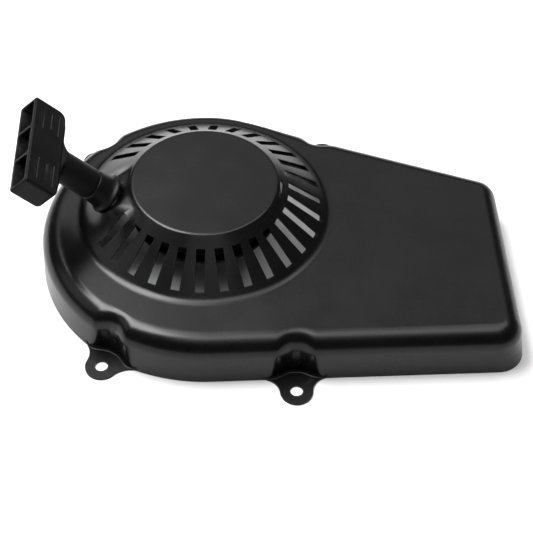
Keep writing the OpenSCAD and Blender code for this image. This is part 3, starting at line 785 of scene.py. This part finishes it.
def pocket_tool(y):
    """A pocket with draft and rounded corners."""
    end = BAR_START + BAR_D
    floor = end - POCKET_DEPTH
    half_t = BAR_T / 2 - WALL_GRIP
    rings = []
    for z, inset, corner in ((end + 1, 0, 1.6), (end - POCKET_DEPTH * 0.5, 0.15, 1.6),
                             (floor + 1, 0.35, 1.6), (floor + 0.3, 0.6, 1.4), (floor, 1.3, 1.0)):
        ring = rounded_ring(half_t - inset, POCKET_L / 2 - inset, corner, z, 5, 2)
        ring[:, 1] += y
        rings.append(ring)
    return loft("tool", rings, GRIP_FRAME)


def groove_tools():
    """Square bars set on edge along both faces of the cross bar: they cut V-shaped grooves."""
    for face in (-1, 1):
        for half in (-1, 1):
            for i in range(3):
                length, offset = (12, 19.5) if i == 1 else (16, 19)
                height = BAR_START + GROOVE_START + GROOVE_STEP * i
                place = Matrix.Translation((face * BAR_T / 2, half * offset, height))
                on_edge = GRIP_FRAME @ place @ Matrix.Rotation(math.radians(45), 4, "Y")
                yield box_tool((GROOVE_W, length, GROOVE_W), (0, 0, 0), on_edge)


def make_grip():
    """The grip with its pockets, its bore for the rope and knot, and its grooves."""
    ob = grip_body()
    for i in (-1, 0, 1):
        cut(ob, pocket_tool(i * (POCKET_L + RIB_T)))
    bore = [(0.0, GUIDE_TIP - 1), (6.4, GUIDE_TIP - 1), (6.2, GUIDE_TIP + 0.8), (4.6, GUIDE_TIP + 2.2),
            (3.2, GUIDE_TIP + 4.5), (2.5, GUIDE_TIP + 8), (2.5, GUIDE_TIP + 40), (0.0, GUIDE_TIP + 40)]
    cut(ob, lathe("tool", bore, GRIP_FRAME, 48))
    for tool in list(groove_tools()):
        cut(ob, tool)
    soften(ob, 0.3, 2, 40)
    return ob


# ---- rope
CORE_R = 30.0
TURN_R = ROPE_R - 0.08
TURN_LOW = 33.9
TURN_HIGH = 38.1
LAYER_STEP = 3.9
ROPE_END = 47.0
LAYER_R = CORE_R + ROPE_R + 0.1
OUTER_LAYER_R = LAYER_R + LAYER_STEP
LEAVE_R = OUTER_LAYER_R + 2 * ROPE_R + 0.3
LEAVE_Z = (TURN_LOW + TURN_HIGH) / 2 - 0.4
BEND_S = -15.5
BEND_LEN = 9.0
KNOT_A = 200.0
KNOT_R = 25.5
KNOT_PLACE = np.array([KNOT_R * cosd(KNOT_A), KNOT_R * sind(KNOT_A), 33.6])
KNOT_SIZE = 3.9
KNOT_STRAND_R = 1.2
GRIP_KNOT_PLACE = (0, 0, BAR_START + BAR_D - 11.9)
GRIP_KNOT_SIZE = 4.6
GRIP_KNOT_STRAND_R = 1.3
LANE_CHANGE = 0.14


def leaving_point():
    """Where the rope leaves the turns for the guide: (bend in front of the guide, azimuth, point)."""
    bend = SEAT + BEND_S * GUIDE_DIR
    far = math.hypot(bend[0], bend[1])
    azimuth = math.degrees(math.atan2(bend[1], bend[0]) + math.acos(LEAVE_R / far)) % 360
    return bend, azimuth, np.array([LEAVE_R * cosd(azimuth), LEAVE_R * sind(azimuth), LEAVE_Z])


def rope_run():
    """The rope from the turns through the guide into the grip."""
    bend, _, leave = leaving_point()
    inward = (bend - leave) / np.linalg.norm(bend - leave)
    bend_from, bend_to = bend - BEND_LEN * inward, bend + BEND_LEN * GUIDE_DIR
    first = leave + 1.5 * inward
    lead = first + (bend_from - first) * np.linspace(0, 1, 12)[:-1, None]
    curve = bezier(bend_from, bend, bend_to, np.linspace(0, 1, 24))
    run = SEAT + np.linspace(BEND_S + BEND_LEN, ROPE_END, 150)[1:, None] * GUIDE_DIR
    return tube("rope_run", np.concatenate([lead, curve, run]), ROPE_R - 0.02, 24)


def rope_turns():
    """Two turns on the core, two over them, and part of a fifth that leads to the guide."""
    _, azimuth, _ = leaving_point()
    start = KNOT_A + 360 * 5
    lanes = [(LAYER_R, TURN_LOW), (LAYER_R, TURN_HIGH), (OUTER_LAYER_R, TURN_HIGH),
             (OUTER_LAYER_R, TURN_LOW), (OUTER_LAYER_R + LAYER_STEP, LEAVE_Z)]
    path = []
    for a in np.arange(start, azimuth, -3.0):
        wound = (start - a) / 360
        lane = min(int(wound), 4)
        here = np.array(lanes[lane])
        if lane < 4:
            done = ease((wound - lane - (1 - LANE_CHANGE)) / LANE_CHANGE)
            here = here + (np.array(lanes[lane + 1]) - here) * done
        path.append([here[0] * cosd(a), here[0] * sind(a), here[1]])
    return tube("rope_turns", path, TURN_R, 16)


def knot(name, centre, size, strand, matrix=None):
    """A tight overhand knot: a trefoil of rope, size across its middle line."""
    t = np.linspace(0, 345, 90)
    path = np.stack([sind(t) + 2 * sind(2 * t), cosd(t) - 2 * cosd(2 * t), -1.9 * sind(3 * t)], axis=1)
    return tube(name, np.array(centre) + path * size / 6, strand, 16, matrix)


# ---- springs
SPRING_LOW = 44.4
SPRING_HIGH = 51.4
SPRING_IN_R = 13.2
SPRING_OUT_R = 39.2
SPRING_TURNS = 11
STRIP_T = 0.6
TAB_L = 7.0
TAB_TOP = 53.4
TAB_R = (SPRING_SLOT_IN_R + SPRING_SLOT_OUT_R) / 2
TAIL_HALF_A = 7.0
STRIP_EDGE = 0.12
BRAKE_COIL_R = 9.4
BRAKE_PITCH = 1.45
BRAKE_TURNS = 2.2
BRAKE_LOW = 17.7
BRAKE_WIRE_R = 0.6
PAWL_SPRING_PLACE = (14.4, 9.4, 25.6)
PAWL_SPRING_R = 1.6
PAWL_SPRING_PITCH = 0.9
PAWL_WIRE_R = 0.3


def recoil_strip():
    """The wound strip with its tail that leads out under the housing's slot."""
    turn_a = np.arange(0, 360 * SPRING_TURNS + 1, 4.0)
    radius = SPRING_IN_R + (SPRING_OUT_R - SPRING_IN_R) * turn_a / turn_a[-1]
    angle = SPRING_SLOT_A - TAIL_HALF_A + turn_a - turn_a[-1]
    tail = np.linspace(0, 1, 15)[1:]
    radius = np.concatenate([radius, SPRING_OUT_R + (TAB_R - SPRING_OUT_R) * ease(tail / 0.75)])
    angle = np.concatenate([angle, SPRING_SLOT_A - TAIL_HALF_A + 2 * TAIL_HALF_A * tail])
    centre = radius[:, None] * unit(angle)
    along = np.gradient(centre, axis=0)
    across = np.stack([along[:, 1], -along[:, 0]], axis=1) / np.linalg.norm(along, axis=1)[:, None]
    half, soft = STRIP_T / 2, STRIP_EDGE
    section = [(half, SPRING_LOW + soft), (half, SPRING_HIGH - soft), (half - soft, SPRING_HIGH),
               (soft - half, SPRING_HIGH), (-half, SPRING_HIGH - soft), (-half, SPRING_LOW + soft),
               (soft - half, SPRING_LOW), (half - soft, SPRING_LOW)]
    rings = [np.array([[*(c + w * k), z] for k, z in section]) for c, w in zip(centre, across)]
    ob = loft("recoil_strip", rings)
    mark_sharp(ob, 30)
    return ob


def mark_sharp(ob, angle):
    """Flat faces stay flat: edges sharper than angle get a crisp shading break."""
    with editing(ob) as bm:
        for edge in bm.edges:
            if len(edge.link_faces) == 2 and edge.calc_face_angle() > math.radians(angle):
                edge.smooth = False


def recoil_tab():
    """The strip's bent end, seen in the housing's slot."""
    turn = Matrix.Rotation(math.radians(SPRING_SLOT_A), 4, "Z")
    low = SPRING_HIGH - 1
    ob = box_tool((STRIP_T, TAB_L, TAB_TOP - low), (TAB_R, 0, (TAB_TOP + low) / 2), turn)
    ob.name = "recoil_tab"
    soften(ob, 0.2, 3, 40)
    return ob


def coil(name, radius, pitch, turns, low, wire, matrix=None, lead=()):
    """A round-wire spring, with the points of a straight leg before its turns."""
    a = np.linspace(0, 360 * turns, int(40 * turns))
    z = low + pitch * a / 360
    path = np.stack([radius * cosd(a), radius * sind(a), z], axis=1)
    if len(lead):
        path = np.concatenate([np.array(lead, float), path])
    return tube(name, path, wire, 16, matrix)


def pawl_spring(i):
    """One return spring with its straight leg; the second is half a turn round from the first."""
    place = Matrix.Rotation(math.pi * i, 4, "Z") @ Matrix.Translation(PAWL_SPRING_PLACE)
    leg = [(PAWL_SPRING_R, y, 0) for y in (-4.6, -3.4, -2.2, -1.1, -0.4)]
    return coil("pawl_spring_" + "ab"[i], PAWL_SPRING_R, PAWL_SPRING_PITCH, 3, 0, PAWL_WIRE_R, place, leg)


# ---- placing
def settle(ob, body, slot, material, *nodes):
    """Gives a piece its material and body, and hides the CAD nodes that it stands for; slot is not used."""
    ob.data.materials.clear()
    ob.data.materials.append(material)
    if nodes:
        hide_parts(*nodes)
    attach(ob, body)


# ---- materials
class Nodes:
    """Short names for building a material's node tree."""

    def __init__(self, name):
        self.material = bpy.data.materials.new(name)
        self.material.use_nodes = True
        self.tree = self.material.node_tree
        self.tree.nodes.clear()
        self.shader = self.tree.nodes.new("ShaderNodeBsdfPrincipled")
        out = self.tree.nodes.new("ShaderNodeOutputMaterial")
        self.tree.links.new(self.shader.outputs[0], out.inputs["Surface"])
        self.coords = self.tree.nodes.new("ShaderNodeTexCoord").outputs["Object"]

    def link(self, a, b):
        self.tree.links.new(a, b)

    def mapping(self, scale=(1, 1, 1), turn=(0, 0, 0)):
        node = self.tree.nodes.new("ShaderNodeMapping")
        node.inputs["Rotation"].default_value = turn
        node.inputs["Scale"].default_value = scale
        self.link(self.coords, node.inputs["Vector"])
        return node.outputs[0]

    def noise(self, scale, detail=3.0, rough=0.5, vector=None):
        node = self.tree.nodes.new("ShaderNodeTexNoise")
        node.inputs["Scale"].default_value = scale
        node.inputs["Detail"].default_value = detail
        node.inputs["Roughness"].default_value = rough
        self.link(vector or self.coords, node.inputs["Vector"])
        return node.outputs["Fac"]

    def ramp(self, value, stops):
        node = self.tree.nodes.new("ShaderNodeValToRGB")
        ramp = node.color_ramp
        while len(ramp.elements) < len(stops):
            ramp.elements.new(0.5)
        for element, (place, colour) in zip(ramp.elements, stops):
            element.position = place
            element.color = (*colour, 1) if isinstance(colour, tuple) else (colour, colour, colour, 1)
        self.link(value, node.inputs[0])
        return node.outputs[0]

    def math(self, operation, a, b=None):
        node = self.tree.nodes.new("ShaderNodeMath")
        node.operation = operation
        for socket, value in zip(node.inputs, (a, b)):
            if value is None:
                continue
            if isinstance(value, (int, float)):
                socket.default_value = value
            else:
                self.link(value, socket)
        return node.outputs[0]

    def map_range(self, value, low, high, to_low, to_high):
        node = self.tree.nodes.new("ShaderNodeMapRange")
        names = ("From Min", "From Max", "To Min", "To Max")
        for name, number in zip(names, (low, high, to_low, to_high)):
            node.inputs[name].default_value = number
        self.link(value, node.inputs["Value"])
        return node.outputs[0]

    def mix(self, factor, a, b):
        node = self.tree.nodes.new("ShaderNodeMix")
        node.data_type = "RGBA"
        self.link(factor, node.inputs["Factor"])
        for socket, value in ((node.inputs[6], a), (node.inputs[7], b)):
            if isinstance(value, tuple):
                socket.default_value = (*value, 1)
            else:
                self.link(value, socket)
        return node.outputs[2]

    def bump(self, height, distance, strength, below=None):
        node = self.tree.nodes.new("ShaderNodeBump")
        node.inputs["Strength"].default_value = strength
        node.inputs["Distance"].default_value = distance
        self.link(height, node.inputs["Height"])
        if below is not None:
            self.link(below, node.inputs["Normal"])
        return node.outputs[0]

    def finish(self, colour, rough, normal=None, metallic=0.0, specular=0.5):
        self.link(colour, self.shader.inputs["Base Color"])
        self.link(rough, self.shader.inputs["Roughness"])
        if normal is not None:
            self.link(normal, self.shader.inputs["Normal"])
        self.shader.inputs["Metallic"].default_value = metallic
        self.shader.inputs["Specular IOR Level"].default_value = specular
        return self.material


def edge_wear_and_glint(n, low, high):
    """1 along the sharpest convex edges, broken up by noise: wear on the enamel, a painted highlight on the
    nylon.
    """
    point = n.tree.nodes.new("ShaderNodeNewGeometry").outputs["Pointiness"]
    sharp = n.map_range(point, low, high, 0, 1)
    return n.math("MULTIPLY", sharp, n.ramp(n.noise(420, 3), [(0.48, 0.0), (0.62, 1.0)]))


def painted_steel(name, duller, specular, dust_share):
    """Satin black enamel: fine orange peel, a soft cloudiness in the gloss, dust specks.

    The lugs' copy is duller, dustier and lower in specular level: a painted shade that keeps the lugs' tops
    darker under the lamps.
    """
    n = Nodes(name)
    cloud = n.noise(14, 3)
    peel = n.noise(1100, 2)
    wave = n.noise(120, 2)
    dust = n.ramp(n.noise(2600, 1), [(0.70 - dust_share, 0.0), (0.74 - dust_share, 1.0)])
    base = n.ramp(cloud, [(0.3, (0.0016, 0.0016, 0.0018)), (0.7, (0.0026, 0.0026, 0.0028))])
    colour = n.mix(n.math("MULTIPLY", dust, 0.35), base, (0.02, 0.02, 0.02))
    colour = n.mix(n.math("MULTIPLY", edge_wear_and_glint(n, 0.56, 0.66), 0.25), colour, (0.03, 0.03, 0.03))
    gloss = n.map_range(cloud, 0.3, 0.7, 0.23 + duller, 0.28 + duller)
    smears = n.map_range(n.noise(60, 4), 0.3, 0.7, -0.02, 0.03)
    rough = n.math("ADD", n.math("ADD", gloss, smears), n.math("MULTIPLY", dust, 0.2))
    normal = n.bump(wave, 0.00004, 0.5)
    normal = n.bump(peel, 0.000012, 0.6, normal)
    return n.finish(colour, rough, normal, specular=specular)


def moulded_plastic(name, dark, light, rough_low, rough_high):
    """Black nylon with a fine spark-eroded grain, faint flow marks and a painted highlight along its
    sharpest edges.
    """
    n = Nodes(name)
    grain = n.noise(2400, 2)
    flow = n.noise(30, 3, vector=n.mapping((1, 4, 1)))
    colour = n.ramp(flow, [(0.3, (dark, dark, dark)), (0.7, (light, light, light * 1.03))])
    # Lighter along the sharpest edges: a painted highlight where the edges would catch the light.
    colour = n.mix(n.math("MULTIPLY", edge_wear_and_glint(n, 0.56, 0.68), 0.1), colour, (0.05, 0.05, 0.05))
    rough = n.map_range(n.noise(90, 4), 0.3, 0.7, rough_low, rough_high)
    return n.finish(colour, rough, n.bump(grain, 0.00003, 0.7), specular=0.11)


def zinc_plate():
    """Zinc-plated steel: fine brushed grain, passivation tints, dull patches."""
    n = Nodes("zinc_plate")
    grain = n.noise(900, 4, vector=n.mapping((1, 1, 14)))
    patch = n.noise(45, 5, 0.6)
    colour = n.ramp(patch, [(0.25, (0.40, 0.40, 0.38)), (0.55, (0.56, 0.56, 0.55)),
                            (0.8, (0.60, 0.57, 0.50))])
    dull = n.map_range(patch, 0.3, 0.7, 0.26, 0.42)
    brushed = n.map_range(grain, 0.3, 0.7, -0.04, 0.04)
    rough = n.math("ADD", dull, brushed)
    return n.finish(colour, rough, n.bump(grain, 0.00002, 0.5), metallic=1.0)


def spring_steel():
    """Oiled spring steel, blue-grey, with drawn scratches and darker oxide."""
    n = Nodes("spring_steel")
    grain = n.noise(700, 4, vector=n.mapping((1, 1, 10)))
    patch = n.noise(60, 4, 0.6)
    colour = n.ramp(patch, [(0.3, (0.10, 0.105, 0.12)), (0.6, (0.22, 0.23, 0.25)),
                            (0.85, (0.30, 0.30, 0.31))])
    rough = n.map_range(patch, 0.3, 0.7, 0.22, 0.4)
    return n.finish(colour, rough, n.bump(grain, 0.00002, 0.5), metallic=1.0)


def sintered_bronze():
    """Porous bronze with oil stains."""
    n = Nodes("sintered_bronze")
    pores = n.noise(3200, 2)
    patch = n.noise(80, 4)
    colour = n.ramp(patch, [(0.3, (0.28, 0.17, 0.08)), (0.7, (0.52, 0.36, 0.19))])
    rough = n.map_range(patch, 0.3, 0.7, 0.35, 0.5)
    return n.finish(colour, rough, n.bump(pores, 0.00005, 0.8), metallic=1.0)


def white_nylon():
    """Natural nylon, slightly yellow, with a fine matt grain."""
    n = Nodes("natural_nylon")
    patch = n.noise(50, 4)
    colour = n.ramp(patch, [(0.3, (0.66, 0.63, 0.54)), (0.7, (0.78, 0.76, 0.69))])
    rough = n.map_range(patch, 0.3, 0.7, 0.4, 0.55)
    return n.finish(colour, rough, n.bump(n.noise(1800, 2), 0.00003, 0.6))


BRAID_WAVES = 2400
BRAID_STRANDS = 4


def braided_rope(name, by_length):
    """Braided black nylon: two sets of strands that cross, some with a grey fleck; darker between the
    strands, as painted shade in the braid's hollows.

    The run through the guide takes its pattern from its place, so it doesn't stretch as the rope pays out.
    """
    n = Nodes(name)
    split = n.tree.nodes.new("ShaderNodeSeparateXYZ")
    if by_length:
        n.link(n.tree.nodes.new("ShaderNodeTexCoord").outputs["UV"], split.inputs[0])
        turn = n.math("MULTIPLY", split.outputs["X"], math.tau)
        along = n.math("MULTIPLY", split.outputs["Y"], BRAID_WAVES)
    else:
        lean = math.radians(90 - GUIDE_A)
        axis = Matrix.Rotation(lean, 3, "Y") @ (Vector(SEAT) * MM)
        n.link(n.mapping(turn=(0, lean, 0)), split.inputs[0])
        x = n.math("SUBTRACT", split.outputs["X"], axis.x)
        y = n.math("SUBTRACT", split.outputs["Y"], axis.y)
        turn = n.math("ARCTAN2", y, x)
        along = n.math("MULTIPLY", split.outputs["Z"], BRAID_WAVES)
    round_rope = n.math("MULTIPLY", turn, BRAID_STRANDS)
    left = n.math("SINE", n.math("ADD", round_rope, along))
    right = n.math("SINE", n.math("SUBTRACT", round_rope, along))
    strands = n.math("MULTIPLY", left, right)
    height = n.map_range(strands, -1, 1, 0, 1)
    fibre = n.noise(5200, 3)
    # Darker down between the strands and lighter on their crowns: painted shade in the braid's hollows, not
    # a dye.
    colour = n.ramp(height, [(0.1, (0.006, 0.006, 0.007)), (0.5, (0.022, 0.022, 0.024)),
                             (0.95, (0.05, 0.05, 0.052))])
    fleck = n.ramp(n.noise(700, 2), [(0.58, 0.0), (0.66, 1.0)])
    colour = n.mix(n.math("MULTIPLY", fleck, 0.5), colour, (0.22, 0.22, 0.21))
    normal = n.bump(height, 0.00035, 0.9)
    normal = n.bump(fibre, 0.00005, 0.5, normal)
    return n.finish(colour, n.map_range(fibre, 0.3, 0.7, 0.65, 0.85), normal, specular=0.3)


PAINT = painted_steel("satin_black_enamel", 0, 0.28, 0)
# The lugs' copy, duller and lower in specular level, is a painted shade that darkens their tops.
LUG_PAINT = painted_steel("lug_shade_black_enamel", 0.09, 0.15, 0.06)
PLASTIC = moulded_plastic("black_moulded_nylon", 0.0025, 0.0045, 0.42, 0.54)
GUIDE_PLASTIC = moulded_plastic("black_guide_nylon", 0.003, 0.005, 0.36, 0.46)
ZINC = zinc_plate()
SPRING = spring_steel()
BRONZE = sintered_bronze()
NYLON = white_nylon()
ROPE = braided_rope("braided_rope", True)
ROPE_RUN = braided_rope("braided_rope_run", False)


# ---- housing
settle(housing_shell(), "housing", "black_paint", PAINT, "blower_housing")
for lug_name, (lug_hole, lug_facing, lug_out) in LUGS.items():
    on_round_wall = lug_name in ("front_left", "back_left")
    piece = lug("lug_" + lug_name, lug_hole, lug_facing, lug_out, on_round_wall)
    settle(piece, "housing", "black_paint", LUG_PAINT)

# ---- guide and grip
settle(rope_guide(), "housing", "black_plastic", GUIDE_PLASTIC, "rope_guide")
settle(guide_eyelet(), "housing", "zinc_steel", ZINC, "guide_eyelet")
settle(make_grip(), "handle", "black_plastic", PLASTIC, "grip")

# ---- rope and springs
run = rope_run()
run.data.materials.append(ROPE_RUN)
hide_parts("rope_strand")
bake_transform(run)
settle(rope_turns(), "winder", "rope", ROPE, "rope_winding")
settle(knot("pulley_knot", KNOT_PLACE, KNOT_SIZE, KNOT_STRAND_R), "winder", "rope", ROPE, "rope_knot")
grip_knot = knot("grip_knot_rope", GRIP_KNOT_PLACE, GRIP_KNOT_SIZE, GRIP_KNOT_STRAND_R, GRIP_FRAME)
settle(grip_knot, "handle", "rope", ROPE, "grip_knot")
settle(recoil_strip(), "housing", "spring_steel", SPRING, "recoil_spring")
settle(recoil_tab(), "housing", "spring_steel", SPRING)
brake_coil = coil("brake_coil", BRAKE_COIL_R, BRAKE_PITCH, BRAKE_TURNS, BRAKE_LOW, BRAKE_WIRE_R)
settle(brake_coil, "housing", "spring_steel", SPRING, "brake_spring")
settle(pawl_spring(0), "winder", "zinc_steel", ZINC, "pawl_springs")
settle(pawl_spring(1), "winder", "zinc_steel", ZINC)

# ---- CAD nodes that keep their shape
KEPT = {
    "spindle": ZINC, "spring_case": ZINC, "spring_cover": ZINC, "case_rivets": SPRING,
    "guide_clip": SPRING, "pulley": PLASTIC, "pulley_bushing": BRONZE, "grip_insert": ZINC,
    "pawl_pins": ZINC, "pawl_front": SPRING, "pawl_rear": SPRING, "thrust_washer": NYLON,
    "friction_plate": ZINC, "screw_washer": ZINC, "center_screw": ZINC,
}
for node_name, node_material in KEPT.items():
    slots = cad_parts[node_name].data.materials
    slots.clear()
    slots.append(node_material)


# ---- floor and light
FLOOR_HALF = 4000


def make_floor():
    """A plain light floor that only stages the picture."""
    n = Nodes("floor")
    cloud = n.noise(2, 2)
    colour = n.ramp(cloud, [(0.3, 0.73), (0.7, 0.75)])
    n.finish(colour, n.map_range(cloud, 0.3, 0.7, 0.6, 0.65), specular=0.2)
    corners = [(x * FLOOR_HALF, y * FLOOR_HALF, 0) for x, y in ((-1, -1), (1, -1), (1, 1), (-1, 1))]
    floor = new_object("floor", corners, [(0, 1, 2, 3)])
    floor.data.materials.append(n.material)


def make_light(name, place, size, power, aim=(0.02, -0.01, 0.02)):
    """A rectangular light in metres and watts, aimed at the object unless told otherwise."""
    data = bpy.data.lights.new(name, "AREA")
    data.shape = "RECTANGLE"
    data.size, data.size_y = size
    data.energy = power
    light = bpy.data.objects.new(name, data)
    light.location = place
    light.rotation_euler = (Vector(aim) - Vector(place)).to_track_quat("-Z", "Y").to_euler()
    bpy.context.collection.objects.link(light)


def make_world(grey):
    world = bpy.data.worlds.new("studio")
    world.use_nodes = True
    world.node_tree.nodes["Background"].inputs["Color"].default_value = (grey, grey, grey, 1)
    bpy.context.scene.world = world


make_floor()
make_light("key", (-0.66, 0.42, 1.70), (0.72, 1.4), 60, (-0.66, 0.42, 0))
make_light("left", (-1.45, 0.15, 0.95), (0.9, 0.8), 2)
make_light("back", (0.25, 2.2, 1.9), (3.3, 1.6), 11.5)
make_light("back_left", (-0.55, 2.1, 2.9), (0.8, 0.6), 6)
make_light("top", (0.45, -0.3, 2.4), (1.0, 1.0), 13)
make_light("top_left", (-0.18, 0.2, 2.4), (0.5, 2.1), 14, (-0.18, 0.2, 0))
make_light("front_top", (0.0, -1.0, 1.9), (1.2, 0.5), 1.5)
make_light("right", (1.0, 0.6, 2.2), (1.0, 1.0), 12)
make_world(0.05)
bpy.context.scene.view_settings.view_transform = "Standard"
